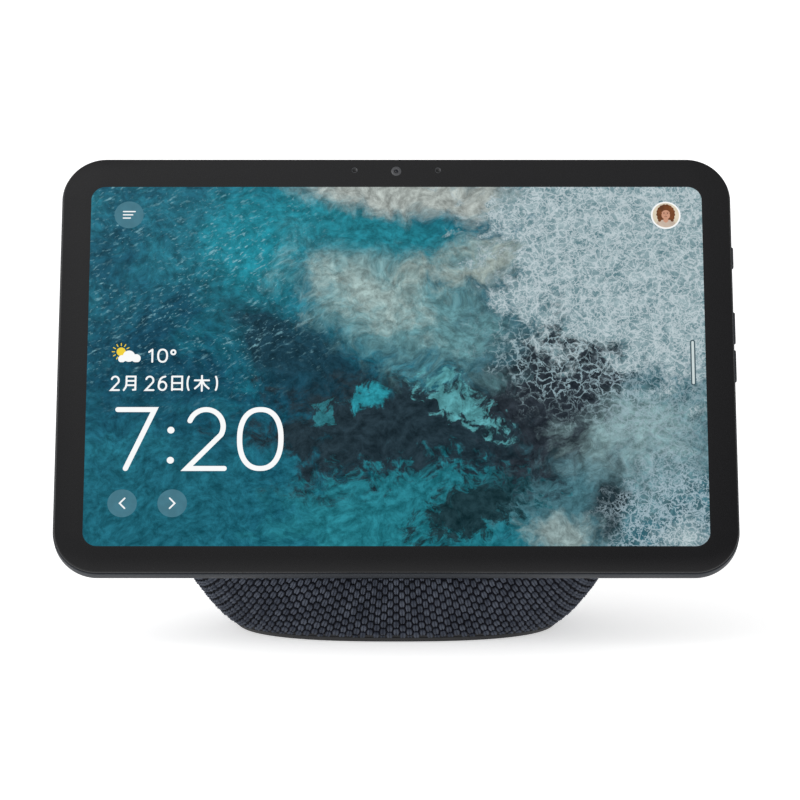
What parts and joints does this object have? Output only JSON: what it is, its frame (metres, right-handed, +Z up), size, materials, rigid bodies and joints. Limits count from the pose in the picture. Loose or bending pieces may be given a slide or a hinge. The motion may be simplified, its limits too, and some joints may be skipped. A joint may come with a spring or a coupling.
{
  "type": "smart display",
  "caption": "Tabletop smart display: a leaning touch screen with side keys, fixed to a rounded fabric-covered loudspeaker base that rests on a flat rubber foot.",
  "frame": {"origin": "middle of the rubber foot's underside, on the table", "axes": "+Z up, +X to the viewer's right, and the screen faces -Y, leaning back 28.8 degrees"},
  "size_m": [0.2583, 0.1275, 0.1781],
  "materials": {
    "glass_black": "polished, printed black behind",
    "panel": "glossy",
    "shell_plastic": "soft satin",
    "key_plastic": "satin",
    "knit_fabric": "coarse knit",
    "inner_plastic": "moulded",
    "base_plastic": "fine moulded texture",
    "foot_rubber": "matte",
    "cone_paper": "pulp",
    "steel": "zinc plated",
    "aluminium": "stamped",
    "magnet_iron": "coated",
    "copper": "bright",
    "circuit_board": "solder mask"
  },
  "bodies": {
    "base": {"cover_glass": "glass_black", "lcd_panel": "panel", "backlight_tray": "aluminium", "midframe": "aluminium", "display_rear_shell": "shell_plastic", "mute_switch": "steel", "volume_up_switch": "steel", "volume_down_switch": "steel", "key_board": "circuit_board", "camera_barrel": "inner_plastic", "camera_lens": "glass_black", "camera_board": "circuit_board", "left_microphone": "steel", "right_microphone": "steel", "left_antenna": "circuit_board", "right_antenna": "circuit_board", "neck_bracket": "steel", "bracket_screw_1": "steel", "bracket_screw_2": "steel", "bracket_screw_3": "steel", "bracket_screw_4": "steel", "screen_ribbon": "copper", "main_board": "circuit_board", "heat_spreader": "aluminium", "fabric_cover": "knit_fabric", "grille_frame": "inner_plastic", "speaker_enclosure": "inner_plastic", "base_plate": "base_plastic", "foot_pad": "foot_rubber", "ballast_plate": "steel", "port_trim": "base_plastic", "dc_jack": "inner_plastic", "power_board": "circuit_board", "base_screw_1": "steel", "base_screw_2": "steel", "base_screw_3": "steel", "base_screw_4": "steel", "woofer_basket": "inner_plastic", "woofer_magnet": "magnet_iron", "woofer_surround": "foot_rubber", "left_driver_basket": "inner_plastic", "left_driver_magnet": "magnet_iron", "left_driver_surround": "foot_rubber", "right_driver_basket": "inner_plastic", "right_driver_magnet": "magnet_iron", "right_driver_surround": "foot_rubber"},
    "mute_key": {"mute_button": "key_plastic"},
    "volume_up_key": {"volume_up_button": "key_plastic"},
    "volume_down_key": {"volume_down_button": "key_plastic"},
    "woofer_motor": {"woofer_cone": "cone_paper", "woofer_voice_coil": "copper"},
    "left_driver_motor": {"left_driver_cone": "cone_paper", "left_driver_voice_coil": "copper"},
    "right_driver_motor": {"right_driver_cone": "cone_paper", "right_driver_voice_coil": "copper"}
  },
  "joints": [
    {"name": "mute_press", "type": "slide", "parent": "base", "child": "mute_key", "axis": [-1, 0, 0], "range_m": [0, 0.0004], "stiffness_N_per_m": 1500},
    {"name": "volume_up_press", "type": "slide", "parent": "base", "child": "volume_up_key", "axis": [-1, 0, 0], "range_m": [0, 0.0004], "stiffness_N_per_m": 1500},
    {"name": "volume_down_press", "type": "slide", "parent": "base", "child": "volume_down_key", "axis": [-1, 0, 0], "range_m": [0, 0.0004], "stiffness_N_per_m": 1500},
    {"name": "woofer_stroke", "type": "slide", "parent": "base", "child": "woofer_motor", "axis": [0, 1, 0], "range_m": [-0.0025, 0.0025], "stiffness_N_per_m": 1200},
    {"name": "left_driver_stroke", "type": "slide", "parent": "base", "child": "left_driver_motor", "axis": [-1, 0, 0], "range_m": [-0.001, 0.001], "stiffness_N_per_m": 1500},
    {"name": "right_driver_stroke", "type": "slide", "parent": "base", "child": "right_driver_motor", "axis": [1, 0, 0], "range_m": [-0.001, 0.001], "stiffness_N_per_m": 1500}
  ]
}
